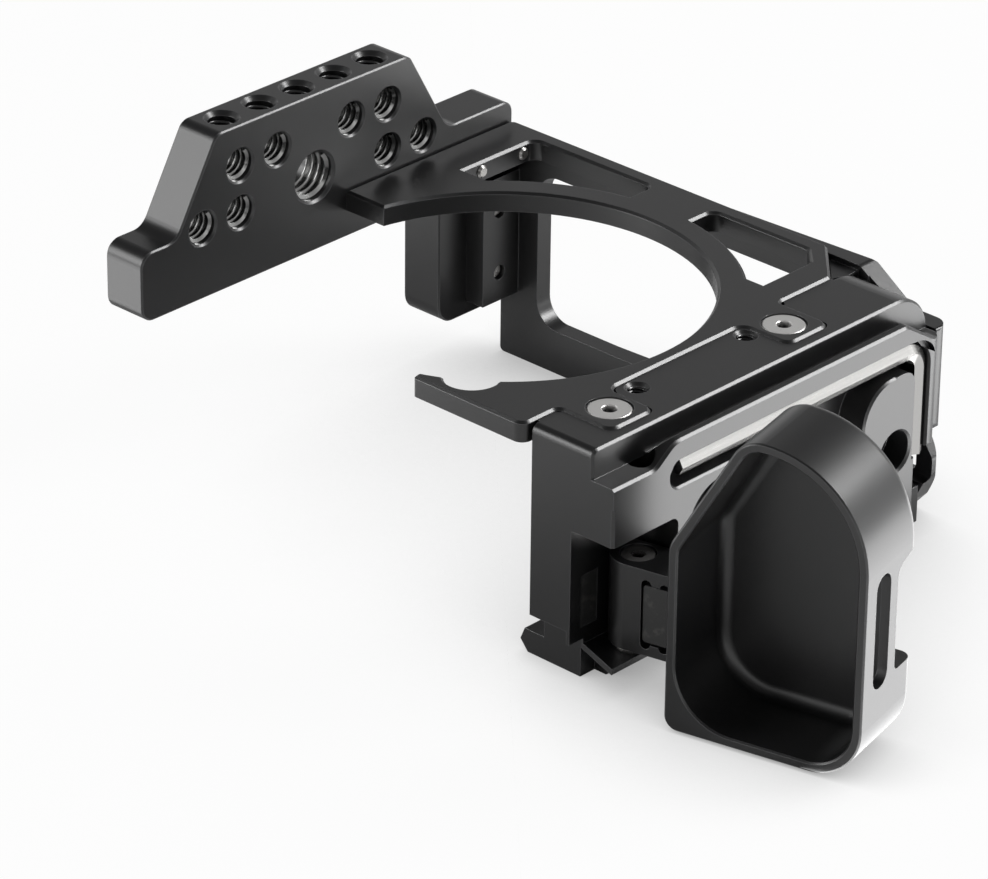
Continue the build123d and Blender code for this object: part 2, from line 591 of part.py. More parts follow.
def make_side_frame():
    """Upright on the connector side, its lip outside the ring's edge."""
    plan = prism_z([
        (SIDE_IN, TOP_LOW, 0),
        (SIDE_TOP_OUT, TOP_LOW, 0.8),
        (SIDE_TOP_OUT, 20, 0),
        (SIDE_LOW_OUT, -40, 0),
        (SIDE_LOW_OUT, FOOT_LOW, 3.2),
        (BASE_RIGHT, FOOT_LOW, 0),
        (BASE_RIGHT, BASE_TOP, 0),
        (SIDE_IN, BASE_TOP, 0),
    ], -1, SIDE_FRONT)
    plan = chamfer(plan.faces().sort_by(Axis.Z)[-1].edges(), EDGE)
    side = prism_x([
        (TOP_LOW, SIDE_FRONT, 0),
        (-38.9, SIDE_FRONT, 1.5),
        (-48.7, FOOT_FRONT, 0),
        (FOOT_LOW, FOOT_FRONT, 0.6),
        (FOOT_LOW, FOOT_REAR, 2.0),
        (LUG_LOW + 2.2, FOOT_REAR, 0.5),
        (LUG_LOW + 2.2, 15.6, 0.6),
        (LUG_LOW, 12.6, 1.5),
        (LUG_LOW, 9.0, 2.5),
        (-53.8, SIDE_REAR + 3.8, 2),
        (-50.5, SIDE_REAR, 1.5),
        (TOP_LOW, SIDE_REAR, 1),
    ], 40, 60)
    frame = plan & side
    frame -= slab(SIDE_IN - 1, RING_X + 0.1, BASE_TOP - 1, TOP_LOW + 1, RING_BACK, RING_FRONT + 1)
    # gusset in front of the ring's cut corner
    frame += prism_z(sharp([
        (52.6, -32.2),
        (47.0, -37.4),
        (50.5, -38.6),
        (56, -38.6),
        (56, -32.2),
    ]), RING_BACK, RING_BACK + 1.4)
    frame -= prism_x([
        (PORT_Y0, PORT_Z0, 5),
        (PORT_Y1, PORT_Z0, 5),
        (PORT_Y1, PORT_Z1, 5),
        (PORT_Y0, PORT_Z1, 5),
    ], 40, 60)
    # tab below the top plate's arm
    frame += slab(40.5, SIDE_IN + 1, TOP_LOW - 4.5, TOP_LOW, 14, 40)
    frame -= prism_x([
        (EYE_Y0, EYE_Z0, 2),
        (EYE_Y0, EYE_Z1, 2),
        (EYE_Y1, EYE_Z1, 2),
        (EYE_Y1, EYE_Z0, 2),
    ], 40, 60)
    frame -= prism_y([
        (50, LUG_FLOOR, 0),
        (LUG_IN, LUG_FLOOR, 1.5),
        (LUG_IN, FOOT_REAR - 0.6, 1.5),
        (50, FOOT_REAR - 0.6, 0),
    ], FOOT_LOW - 1, EYE_Y1 + 0.6)
    frame -= prism_y(sharp([
        (SIDE_IN - 1, RING_BACK - 1.4),
        (SIDE_IN + 1.4, RING_BACK + 1),
        (SIDE_IN - 1, RING_BACK + 1),
    ]), BASE_TOP, TOP_LOW - 5)
    for z in FRAME_SCREWS:
        frame -= rod(TO_BOTTOM, FRAME_SCREW_X, TOP_LOW + 1, z, M3_R, 8)
    for z in FOOT_SCREWS:
        frame -= flat_seat(TO_GRIP, SIDE_LOW_OUT, FOOT_SCREW_Y, z,
                           M3_HEAD_R, M3_HEAD_H, M3_R, 6)
    frame -= SIDE_PAD_BED
    return frame


def shut_to_open(part):
    """Turns cup parts from shut to the open pose, about the pivot."""
    return Pos(PIVOT_X, PIVOT_Y, 0) * Rot(0, 0, SWING) * Pos(-PIVOT_X, -PIVOT_Y, 0) * part


def cup_x(r):
    return PIVOT_X - r


def make_grip_cup():
    """Open cup that the grip's base sits in, with its hinge arm."""
    back = PIVOT_Y - ARM_REAR
    rim = PIVOT_Y + CUP_RIM
    shell = prism_y([
        (cup_x(CUP_NEAR), CUP_LOW, 2.5),
        (cup_x(CUP_FAR), CUP_LOW, 10),
        (cup_x(CUP_FAR), CUP_HIGH, 20),
        (cup_x(CUP_SLOPE_X), CUP_HIGH, 6.5),
        (cup_x(CUP_NEAR), CUP_SLOPE_Z, 6),
    ], back, rim)
    shell = fillet(shell.faces().sort_by(Axis.Y)[0].edges(), 2.2)
    cavity = prism_y([
        (cup_x(CUP_NEAR + WALL), CUP_LOW + WALL, 11),
        (cup_x(CUP_FAR - WALL), CUP_LOW + WALL, 8.5),
        (cup_x(CUP_FAR - WALL), CUP_HIGH - WALL, 18.2),
        (cup_x(CUP_SLOPE_X + 1.0), CUP_HIGH - WALL, 4.7),
        (cup_x(CUP_NEAR + WALL), CUP_SLOPE_Z - 0.5, 4.2),
    ], back + WALL, rim + 1)
    cavity = fillet(cavity.faces().sort_by(Axis.Y)[0].edges(), 2.2)
    cup = shell - cavity
    cup = chamfer(cup.faces().sort_by(Axis.Y)[-1].edges(), RIM_BREAK)

    arm = rod(UP, PIVOT_X, PIVOT_Y, ARM_LOW, HUB_R, ARM_HIGH - ARM_LOW)
    arm += slab(cup_x(CUP_NEAR + 1), PIVOT_X, back, PIVOT_Y + ARM_FRONT, ARM_LOW, ARM_HIGH)
    arm &= slab(cup_x(CUP_NEAR + 1), PIVOT_X + 9, back, PIVOT_Y + ARM_FRONT, ARM_LOW, ARM_HIGH)
    cup += arm
    cup -= rod(UP, PIVOT_X, PIVOT_Y, ARM_LOW - 1, PIN_R + PIN_GAP, 30)
    cup -= rod(UP, PIVOT_X, PIVOT_Y, ARM_HIGH - SINK, PIN_HEAD_R + 0.25, 10)
    cup -= POCKET

    # strap slot and corner notch in the far wall
    slot = prism_x([
        (PIVOT_Y + 5.6, 16.8, 2.5),
        (PIVOT_Y + 10.9, 16.8, 2.5),
        (PIVOT_Y + 10.9, 38.4, 2.5),
        (PIVOT_Y + 5.6, 38.4, 2.5),
    ], cup_x(CUP_FAR + 2), cup_x(CUP_FAR - 4))
    notch = prism_x([
        (back - 1, 17.4, 0),
        (PIVOT_Y + 2.9, 17.4, 1.2),
        (PIVOT_Y + 2.9, 37, 2.5),
        (back + 1.5, 38.5, 1),
        (back - 1, 38.5, 0),
    ], cup_x(CUP_FAR + 2), cup_x(CUP_FAR - 4.5))
    return shut_to_open(cup - slot - notch)


# pocket for the magnet in the arm, in the shut pose
POCKET_NEAR = 3.4
POCKET_FAR = 9.0
POCKET_DEEP = 2.2
POCKET = slab(cup_x(POCKET_FAR), cup_x(POCKET_NEAR), PIVOT_Y + ARM_FRONT - POCKET_DEEP,
              PIVOT_Y + ARM_FRONT + 1, 9.7, 21.4)
for pocket_x in (cup_x(POCKET_FAR - 1.0), cup_x(POCKET_NEAR + 1.0)):
    for pocket_z in (9.8, 21.3):
        POCKET += rod(TO_BOTTOM, pocket_x, PIVOT_Y + ARM_FRONT + 1, pocket_z, 1.0, POCKET_DEEP + 1)
LATCH = slab(cup_x(POCKET_FAR - 0.3), cup_x(POCKET_NEAR + 0.3), PIVOT_Y + ARM_FRONT - POCKET_DEEP,
             PIVOT_Y + ARM_FRONT - 0.3, 10.0, 21.1)
LATCH = chamfer(LATCH.edges().filter_by(Axis.Y), 0.4)
KEEPER = slab(cup_x(POCKET_FAR - 0.6), cup_x(POCKET_NEAR + 0.9), PIVOT_Y + HUB_R + HUB_GAP - 0.5,
              PIVOT_Y + HUB_R + HUB_GAP + 2.0, 10.5, 20.6)
KEY_MAGNETS = (-6.0, 18.0)
BASE_PAD = slab(12, 46, BASE_TOP - PAD_SINK, BASE_TOP - PAD_SINK + PAD_T, 12, 36)
BASE_PAD_BED = slab(11.9, 46.1, BASE_TOP - PAD_SINK, BASE_TOP + 1, 11.9, 36.1)
REAR_PAD = slab(-24, 34, -40.2, -35.9, LIP_FRONT - PAD_SINK, LIP_FRONT - PAD_SINK + PAD_T)
REAR_PAD_BED = slab(-24.1, 34.1, -40.3, -35.8, LIP_FRONT - PAD_SINK, LIP_FRONT + 1)
SIDE_PAD = slab(SIDE_IN + PAD_SINK - PAD_T, SIDE_IN + PAD_SINK, -39.5, -32, 12, 40)
SIDE_PAD_BED = slab(SIDE_IN - 1, SIDE_IN + PAD_SINK, -39.6, -31.9, 11.9, 40.1)


def make_quarter_inserts():
    solids = []
    for x, z in QUARTERS:
        solids.append(tube(TO_TOP, x, TOP_LOW + INSERT_SET, z, QUARTER_OUT, QUARTER_R,
                           TOP_THICK - 2 * INSERT_SET))
    return Compound(children=solids)


def make_three_eighth_insert():
    return tube(TO_TOP, 0, TOP_LOW + INSERT_SET, THREE_Z, THREE_OUT, THREE_R,
                TOP_THICK - 2 * INSERT_SET)


def make_ring_screws():
    solids = []
    for s in (-1, 1):
        solids.append(flat_screw(DOWN, EAR_MID + s * EAR_SCREW_X, EAR_SCREW_Y, RING_FRONT - HEAD_SINK,
                                 EAR_HEAD_R, EAR_HEAD_H, EAR_SHANK_R, 14, 2.5))
    return Compound(children=solids)


def make_top_ring_screws():
    solids = []
    for x in RING_SCREWS:
        reach = 37.9 if x > 30 else 39.5
        solids.append(flat_screw(TO_BOTTOM, x, TOP_HIGH - HEAD_SINK, RING_BACK + RING_THICK / 2,
                                 RING_SCREW_HEAD_R, RING_SCREW_HEAD_H, RING_SCREW_R,
                                 TOP_HIGH - HEAD_SINK - reach, 1.5))
    return Compound(children=solids)


def make_top_frame_screws():
    solids = []
    for z in FRAME_SCREWS:
        solids.append(flat_screw(TO_BOTTOM, FRAME_SCREW_X, TOP_HIGH - HEAD_SINK, z,
                                 M3_HEAD_R, M3_HEAD_H, M3_R, 13, 2.0))
    return Compound(children=solids)


def make_foot_screws():
    solids = []
    for z in FOOT_SCREWS:
        solids.append(flat_screw(TO_GRIP, SIDE_LOW_OUT - HEAD_SINK, FOOT_SCREW_Y, z,
                                 M3_HEAD_R, M3_HEAD_H, M3_R, 12, 2.0))
    return Compound(children=solids)


def make_dowel_pins():
    solids = []
    for s in (-1, 1):
        solids.append(rod(UP, EAR_MID + s * DOWEL_X, DOWEL_Y, RING_BACK - 6, DOWEL_R, 8))
    return Compound(children=solids)


def make_hinge_screw():
    """Shoulder screw; its head lies in the arm, its thread in the lower ear."""
    head_low = ARM_HIGH - SINK + 0.1
    screw = rod(UP, PIVOT_X, PIVOT_Y, 4.6, PIN_THREAD_R, 3.4)
    screw += rod(UP, PIVOT_X, PIVOT_Y, RECESS_LOW, PIN_R, head_low - RECESS_LOW)
    screw += rod(UP, PIVOT_X, PIVOT_Y, head_low, PIN_HEAD_R, PIN_HEAD_H)
    return screw - hex_rod(DOWN, PIVOT_X, PIVOT_Y, head_low + PIN_HEAD_H, 2.5, 1.8)


def make_hinge_washer():
    return tube(UP, PIVOT_X, PIVOT_Y, RECESS_LOW, 4.4, PIN_R + 0.02, WASHER_T)


def make_key_magnets():
    top = KEY_Y + KEY_R + MAGNET_GAP
    solids = []
    for x in KEY_MAGNETS:
        solids.append(rod(TO_TOP, x, top, KEY_Z, 2.0, BASE_LOW + 6.4 - top))
    return Compound(children=solids)


def make_hex_key():
    """L-shaped 3 mm key lying in the slot, one edge facing out."""
    path = [
        Line((KEY_X0, KEY_Y, KEY_Z), (KEY_X1 - KEY_BEND, KEY_Y, KEY_Z)),
        ThreePointArc((KEY_X1 - KEY_BEND, KEY_Y, KEY_Z),
                      (KEY_X1 - KEY_BEND * (1 - sin(pi / 4)), KEY_Y,
                       KEY_Z - KEY_BEND * (1 - cos(pi / 4))),
                      (KEY_X1, KEY_Y, KEY_Z - KEY_BEND)),
        Line((KEY_X1, KEY_Y, KEY_Z - KEY_BEND), (KEY_X1, KEY_Y, KEY_LOW)),
    ]
    face = RegularPolygon(KEY_R, 6)
    start = Plane((KEY_X0, KEY_Y, KEY_Z), x_dir=(0, 1, 0), z_dir=(1, 0, 0))
    key = sweep(start * face, Wire(path))
    return key


def make_camera_screw():
    low = BASE_LOW + 0.4
    head_h = RECESS_DEEP - 0.4 - 0.3
    screw = rod(TO_TOP, 0, low, CAMERA_SCREW_Z, CAMERA_HEAD_R, head_h)
    screw += rod(TO_TOP, 0, low + head_h, CAMERA_SCREW_Z, CAMERA_SHANK_R,
                 CAMERA_SHANK_END - low - head_h)
    screw += rod(TO_TOP, 0, CAMERA_SHANK_END, CAMERA_SCREW_Z, CAMERA_THREAD_R, 4.4)
    screw -= slab(-7, 7, low - 1, low + 1.2, CAMERA_SCREW_Z - 0.8, CAMERA_SCREW_Z + 0.8)
    return screw


def make_screw_clip():
    clip = tube(TO_TOP, 0, BASE_TOP - 1.3, CAMERA_SCREW_Z, 4.6, CAMERA_SHANK_R, 0.8)
    return clip - slab(-1.6, 1.6, -60, 0, CAMERA_SCREW_Z, CAMERA_SCREW_Z + 9)


parts = {
    "top_plate": make_top_plate(),
    "front_ring": make_front_ring(),
    "base_plate": make_base_plate(),
    "side_frame": make_side_frame(),
    "quarter_inserts": make_quarter_inserts(),
    "three_eighth_insert": make_three_eighth_insert(),
    "ring_screws": make_ring_screws(),
    "top_ring_screws": make_top_ring_screws(),
    "top_frame_screws": make_top_frame_screws(),
    "foot_screws": make_foot_screws(),
    "dowel_pins": make_dowel_pins(),
    "hinge_screw": make_hinge_screw(),
    "hinge_washer": make_hinge_washer(),
    "keeper_magnet": KEEPER & slab(-60, 0, PIVOT_Y + HUB_R + HUB_GAP, 0, 0, 40),
    "key_magnets": make_key_magnets(),
    "base_pad": BASE_PAD,
    "side_pad": SIDE_PAD,
    "rear_pad": REAR_PAD,
    "grip_cup": make_grip_cup(),
    "latch_magnet": shut_to_open(LATCH),
    "hex_key": make_hex_key(),
    "camera_screw": make_camera_screw(),
    "screw_clip": make_screw_clip(),
}

os.makedirs("parts", exist_ok=True)
for name, part in parts.items():
    export_step(part, "parts/" + name + ".step")
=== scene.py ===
import math

import bmesh
import bpy
from mathutils import Matrix, Vector


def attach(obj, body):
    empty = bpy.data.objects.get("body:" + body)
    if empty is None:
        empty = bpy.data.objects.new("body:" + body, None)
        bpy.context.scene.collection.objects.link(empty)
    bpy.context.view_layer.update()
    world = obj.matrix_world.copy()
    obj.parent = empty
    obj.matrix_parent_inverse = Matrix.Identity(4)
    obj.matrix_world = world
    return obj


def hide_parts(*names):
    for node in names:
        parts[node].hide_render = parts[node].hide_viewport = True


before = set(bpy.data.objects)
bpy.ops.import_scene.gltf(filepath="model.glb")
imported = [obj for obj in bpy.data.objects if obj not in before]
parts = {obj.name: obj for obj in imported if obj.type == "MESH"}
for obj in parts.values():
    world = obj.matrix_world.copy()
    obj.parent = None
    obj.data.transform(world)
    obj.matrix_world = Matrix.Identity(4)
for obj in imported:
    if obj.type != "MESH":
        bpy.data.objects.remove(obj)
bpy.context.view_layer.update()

scene = bpy.context.scene
scene.view_settings.view_transform = "Standard"

# ---- Camera -------------------------------------------------------------
# A long lens on the grip side, looking down on the cage, which lies on its
# back with the lens opening up.

eye = Vector((-0.65877, -0.61596, 0.48689))
eye_right = Vector((0.68783, -0.72580, 0.01027))
eye_up = Vector((0.32950, 0.32480, 0.88653))
eye_back = Vector((-0.64677, -0.60640, 0.46255))
lens = bpy.data.cameras.new("camera")
lens.sensor_fit = "HORIZONTAL"
lens.sensor_width = 36.0
lens.lens = 203.917
lens.clip_start = 0.05
lens.clip_end = 60.0
camera = bpy.data.objects.new("camera", lens)
camera.matrix_world = Matrix.LocRotScale(
    eye, Matrix((eye_right, eye_up, eye_back)).transposed(), None)
scene.collection.objects.link(camera)
scene.camera = camera


# ---- Studio -------------------------------------------------------------
# A white table, pale walls and a dark open ceiling, so that black metal shows
# its shape. One soft box stands over the top plate's side and one over the
# cup. Two more lie on the table beside the object and light it from below.

def cleared(material):
    material.use_nodes = True
    tree = material.node_tree
    tree.nodes.clear()
    return tree


def soft_box(name, place, size, radiance, aim=(0, 0, 0.03)):
    """A light that the camera doesn't see, turned towards aim."""
    area = bpy.data.lights.new(name, "AREA")
    area.shape = "RECTANGLE"
    area.size, area.size_y = size
    area.energy = radiance * math.pi * size[0] * size[1]
    box = bpy.data.objects.new(name, area)
    box.location = place
    box.rotation_mode = "QUATERNION"
    box.rotation_quaternion = (Vector(aim) - Vector(place)).to_track_quat("-Z", "Y")
    box.visible_camera = False
    scene.collection.objects.link(box)


def seen_directly(tree):
    """1 for rays from the camera and through glass, 0 for all others."""
    rays = tree.nodes.new("ShaderNodeLightPath")
    both = tree.nodes.new("ShaderNodeMath")
    both.operation = "MAXIMUM"
    tree.links.new(rays.outputs["Is Camera Ray"], both.inputs[0])
    tree.links.new(rays.outputs["Is Transmission Ray"], both.inputs[1])
    return both.outputs[0]


soft_box("box_over_top_plate", (-0.94, 0.79, 0.46), (0.70, 0.70), 3.7)
soft_box("box_over_cup", (0.98, -0.70, 0.95), (0.55, 0.55), 15.0)
soft_box("table_light_by_cup", (0.14, -0.21, 0.001), (0.34, 0.28), 3.0, (0.14, -0.21, 1.0))
soft_box("table_light_by_top", (-0.21, 0.19, 0.001), (0.30, 0.24), 2.2, (-0.21, 0.19, 1.0))

WALL_LEVEL = 1.0
WALL_FOOT = -0.05      # heights as the z of a direction from the object
CEILING_LEVEL = 0.10
CEILING_EDGE = 0.68
WHITE_LEVEL = 1.0
world = bpy.data.worlds.new("studio")
scene.world = world
tree = cleared(world)
way = tree.nodes.new("ShaderNodeTexCoord")
height = tree.nodes.new("ShaderNodeSeparateXYZ")
tree.links.new(way.outputs["Generated"], height.inputs[0])
walls = tree.nodes.new("ShaderNodeMapRange")
walls.interpolation_type = "SMOOTHSTEP"
walls.inputs["From Min"].default_value = WALL_FOOT
walls.inputs["From Max"].default_value = CEILING_EDGE
walls.inputs["To Min"].default_value = WALL_LEVEL
walls.inputs["To Max"].default_value = CEILING_LEVEL
tree.links.new(height.outputs["Z"], walls.inputs["Value"])
level = tree.nodes.new("ShaderNodeMix")
level.inputs["B"].default_value = WHITE_LEVEL
tree.links.new(seen_directly(tree), level.inputs["Factor"])
tree.links.new(walls.outputs["Result"], level.inputs["A"])
sky = tree.nodes.new("ShaderNodeBackground")
sky.inputs["Color"].default_value = (1, 1, 1, 1)
tree.links.new(level.outputs["Result"], sky.inputs["Strength"])
out = tree.nodes.new("ShaderNodeOutputWorld")
tree.links.new(sky.outputs[0], out.inputs["Surface"])

# the table top: white to the camera, darker close to the object, with a small
# part of its own shading left in; mirrored in the metal it shows all of it
TABLE_OWN_SHADE = 0.05
SHADOW_REACH = 0.11    # metres
OPEN_ENOUGH = 0.80     # share of open sky from which the table is white
SHADOW_FLOOR = 0.30
TABLE_HALF = 6.0
TABLE_PAINT = 0.93
bm = bmesh.new()
bmesh.ops.create_grid(bm, x_segments=1, y_segments=1, size=TABLE_HALF)
table_mesh = bpy.data.meshes.new("table")
bm.to_mesh(table_mesh)
bm.free()
table = bpy.data.objects.new("table", table_mesh)
scene.collection.objects.link(table)
paint = bpy.data.materials.new("white_table")
tree = cleared(paint)
matt = tree.nodes.new("ShaderNodeBsdfDiffuse")
matt.inputs["Color"].default_value = (TABLE_PAINT, TABLE_PAINT, TABLE_PAINT, 1)
near = tree.nodes.new("ShaderNodeAmbientOcclusion")
near.samples = 24
near.inputs["Distance"].default_value = SHADOW_REACH
openness = tree.nodes.new("ShaderNodeMapRange")
openness.inputs["From Max"].default_value = OPEN_ENOUGH
openness.inputs["To Min"].default_value = SHADOW_FLOOR
tree.links.new(near.outputs["AO"], openness.inputs["Value"])
white = tree.nodes.new("ShaderNodeEmission")
tree.links.new(openness.outputs["Result"], white.inputs["Strength"])
share = tree.nodes.new("ShaderNodeMath")
share.operation = "MULTIPLY"
share.inputs[1].default_value = 1.0 - TABLE_OWN_SHADE
tree.links.new(seen_directly(tree), share.inputs[0])
mixed = tree.nodes.new("ShaderNodeMixShader")
tree.links.new(share.outputs[0], mixed.inputs[0])
tree.links.new(matt.outputs[0], mixed.inputs[1])
tree.links.new(white.outputs[0], mixed.inputs[2])
out = tree.nodes.new("ShaderNodeOutputMaterial")
tree.links.new(mixed.outputs[0], out.inputs["Surface"])
table_mesh.materials.append(paint)


# ---- Top plate, front ring, base plate, side frame, grip cup ------------
# Aluminium, milled from the block, bead blasted and anodised black. The
# edges are cut again after blasting, so they are smoother and shine more; their lighter colour is
# a painted highlight.

def noise(tree, at, scale, detail=2.0, roughness=0.5):
    n = tree.nodes.new("ShaderNodeTexNoise")
    n.inputs["Scale"].default_value = scale
    n.inputs["Detail"].default_value = detail
    n.inputs["Roughness"].default_value = roughness
    tree.links.new(at, n.inputs["Vector"])
    return n.outputs["Fac"]


def spread(tree, value, low, high, from_low=0.0, from_high=1.0):
    m = tree.nodes.new("ShaderNodeMapRange")
    m.inputs["From Min"].default_value = from_low
    m.inputs["From Max"].default_value = from_high
    m.inputs["To Min"].default_value = low
    m.inputs["To Max"].default_value = high
    tree.links.new(value, m.inputs["Value"])
    return m.outputs["Result"]


def two_tone(tree, value, low, high):
    mix = tree.nodes.new("ShaderNodeMix")
    mix.data_type = "RGBA"
    for socket, colour in (("A", low), ("B", high)):
        if isinstance(colour, tuple):
            mix.inputs[socket].default_value = (*colour, 1)
        else:
            tree.links.new(colour, mix.inputs[socket])
    tree.links.new(value, mix.inputs["Factor"])
    return mix.outputs["Result"]


def arithmetic(tree, operation, a, b):
    m = tree.nodes.new("ShaderNodeMath")
    m.operation = operation
    for k, value in enumerate((a, b)):
        if isinstance(value, (int, float)):
            m.inputs[k].default_value = value
        else:
            tree.links.new(value, m.inputs[k])
    return m.outputs[0]


def object_place(tree):
    return tree.nodes.new("ShaderNodeTexCoord").outputs["Object"]


def bump(tree, height_value, strength, depth, under=None):
    b = tree.nodes.new("ShaderNodeBump")
    b.inputs["Strength"].default_value = strength
    b.inputs["Distance"].default_value = depth
    tree.links.new(height_value, b.inputs["Height"])
    if under is not None:
        tree.links.new(under, b.inputs["Normal"])
    return b.outputs["Normal"]


def surface(tree, shader):
    out = tree.nodes.new("ShaderNodeOutputMaterial")
    tree.links.new(shader.outputs[0], out.inputs["Surface"])


EDGE_TURN = (0.93, 0.995)    # cosines between which an edge fades out
PAINTED_EDGE_HIGHLIGHT = (0.13, 0.13, 0.135)
EDGE_RADIUS = 0.00016


def turned_edge(tree, radius):
    """Normal rounded over the edges, and 1 where an edge is within radius."""
    rounded = tree.nodes.new("ShaderNodeBevel")
    rounded.samples = 6
    rounded.inputs["Radius"].default_value = radius
    flat = tree.nodes.new("ShaderNodeNewGeometry")
    dot = tree.nodes.new("ShaderNodeVectorMath")
    dot.operation = "DOT_PRODUCT"
    tree.links.new(rounded.outputs["Normal"], dot.inputs[0])
    tree.links.new(flat.outputs["Normal"], dot.inputs[1])
    return rounded.outputs["Normal"], spread(tree, dot.outputs["Value"], 1.0, 0.0, *EDGE_TURN)


def anodised(name, dark, light, blasted, cut):
    """Black dyed aluminium; blasted and cut are the two roughnesses."""
    metal = bpy.data.materials.new(name)
    tree = cleared(metal)
    where = object_place(tree)
    beads = noise(tree, where, 5200.0, 3.0, 0.6)
    bath = noise(tree, where, 90.0, 3.0, 0.5)
    normal, edge = turned_edge(tree, EDGE_RADIUS)
    shader = tree.nodes.new("ShaderNodeBsdfPrincipled")
    shader.inputs["IOR"].default_value = 1.65
    shader.inputs["Specular IOR Level"].default_value = 0.62
    tone = two_tone(tree, bath, dark, light)
    # painted highlight: the edges' lighter colour stands in for light caught on the chamfers;
    # their lower roughness is the smoother cut
    tree.links.new(two_tone(tree, edge, tone, PAINTED_EDGE_HIGHLIGHT), shader.inputs["Base Color"])
    rough = spread(tree, beads, blasted - 0.05, blasted + 0.05)
    less = arithmetic(tree, "MULTIPLY", edge, blasted - cut)
    tree.links.new(arithmetic(tree, "SUBTRACT", rough, less), shader.inputs["Roughness"])
    tree.links.new(bump(tree, beads, 0.22, 0.00003, normal), shader.inputs["Normal"])
    surface(tree, shader)
    return metal


def finish_with(material, *names):
    for name in names:
        if not parts[name].material_slots:
            parts[name].data.materials.append(material)
        for slot in parts[name].material_slots:
            slot.material = material


black = anodised("black_anodised", (0.0045, 0.0045, 0.005), (0.008, 0.008, 0.0085), 0.34, 0.20)
finish_with(black, "top_plate", "front_ring", "base_plate", "side_frame", "grip_cup")


# ---- Threads cut in the black metal -------------------------------------
# The five holes in the fin's front edge, the two beside the ring's screws
# and the 3/8 hole in the base are tapped before the metal is dyed.

MM = 0.001
TURN_STEPS = 28
SMOOTH_BELOW = 40      # degrees


def thread(places, along, section, pitch, turns):
    """One wound ridge for each place; section is (radius, height) in mm."""
    along = Vector(along)
    side = along.orthogonal().normalized()
    steps = int(TURN_STEPS * turns)
    bm = bmesh.new()
    for place in places:
        centre = Vector(place) * MM
        loop = [bm.verts.new(centre + side * r * MM + along * h * MM) for r, h in section]
        ring = [bm.edges.new((loop[k - 1], loop[k])) for k in range(len(loop))]
        wound = bmesh.ops.spin(bm, geom=loop + ring, cent=centre, axis=along,
                               dvec=along * (pitch * turns * MM / steps),
                               angle=math.tau * turns, steps=steps, use_duplicate=False)
        last = [e for e in wound["geom_last"] if isinstance(e, bmesh.types.BMEdge)]
        bmesh.ops.contextual_create(bm, geom=ring)
        bmesh.ops.contextual_create(bm, geom=last)
    return bm


def piece(name, bm, material, body):
    """Closes a mesh as one finished piece that rides on a body."""
    bmesh.ops.recalc_face_normals(bm, faces=bm.faces)
    mesh = bpy.data.meshes.new(name)
    bm.to_mesh(mesh)
    bm.free()
    mesh.shade_smooth()
    mesh.set_sharp_from_angle(angle=math.radians(SMOOTH_BELOW))
    mesh.materials.append(material)
    thing = bpy.data.objects.new(name, mesh)
    scene.collection.objects.link(thing)
    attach(thing, body)
    return thing


def ridge(root, crest, base, tip):
    """Cross-section of a cut thread's ridge that stands in from its wall."""
    return [(root, -base), (crest, -tip), (crest, tip), (root, base)]


QUARTER_PITCH = 1.27
THREE_EIGHTH_PITCH = 1.5875
FINE_PITCH = 0.7
GRID = 9.525

tapped = anodised("black_anodised_threads", (0.010, 0.010, 0.011), (0.018, 0.018, 0.019),
                  0.26, 0.2)
edge_places = [(k * GRID, 52.25, 66.5) for k in (-2, -1, 0, 1, 2)]
bm = thread(edge_places, (0, 0, 1), ridge(2.63, 2.33, 0.52, 0.10),
            QUARTER_PITCH, 1.7)
piece("edge_hole_threads", bm, tapped, "frame")
bm = thread([(-13.0, -44.3, 36.2), (15.5, -44.3, 36.2)], (0, 0, 1),
            ridge(1.72, 1.46, 0.30, 0.05), FINE_PITCH, 15.2)
piece("ring_hole_threads", bm, tapped, "frame")
bm = thread([(39.5, -54.6, 21.0)], (0, 1, 0), ridge(4.13, 3.86, 0.50, 0.08),
            THREE_EIGHTH_PITCH, 4.3)
piece("base_hole_threads", bm, tapped, "frame")


# ---- Thread inserts -----------------------------------------------------
# Coils of drawn stainless wire wound into the tapped holes of the fin: eight
# 1/4-20 and one 3/8-16. The black wall shows between the turns.

def steel(name, colour, rough):
    metal = bpy.data.materials.new(name)
    tree = cleared(metal)
    where = object_place(tree)
    fine = noise(tree, where, 2600.0, 3.0, 0.6)
    shader = tree.nodes.new("ShaderNodeBsdfPrincipled")
    shader.inputs["Metallic"].default_value = 1.0
    duller = tuple(c * 0.84 for c in colour)
    tree.links.new(two_tone(tree, fine, duller, colour), shader.inputs["Base Color"])
    tree.links.new(spread(tree, fine, rough - 0.05, rough + 0.06), shader.inputs["Roughness"])
    tree.links.new(bump(tree, fine, 0.1, 0.00002), shader.inputs["Normal"])
    surface(tree, shader)
    return metal


def wire_section(bore, wall, half_width):
    """Tapered wire, broad at the wall, with a small flat on its crest."""
    return [(wall, -half_width), (bore + 0.12, -0.12), (bore, -0.05),
            (bore, 0.05), (bore + 0.12, 0.12), (wall, half_width)]


wire = steel("insert_wire", (0.42, 0.42, 0.415), 0.18)
quarter_places = [(s * k * GRID, 48.8, 62.0) for s in (-1, 1) for k in (1, 2)]
quarter_places += [(s * k * GRID, 48.8, 52.6) for s in (-1, 1) for k in (2, 3)]
bm = thread(quarter_places, (0, 1, 0), wire_section(2.6, 3.18, 0.36),
            QUARTER_PITCH, 5.4)
coils = piece("quarter_coils", bm, wire, "frame")
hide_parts("quarter_inserts")
bm = thread([(0, 49.0, 53.4)], (0, 1, 0), wire_section(4.1, 4.78, 0.44),
            THREE_EIGHTH_PITCH, 4.1)
coil = piece("three_eighth_coil", bm, wire, "frame")
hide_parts("three_eighth_insert")


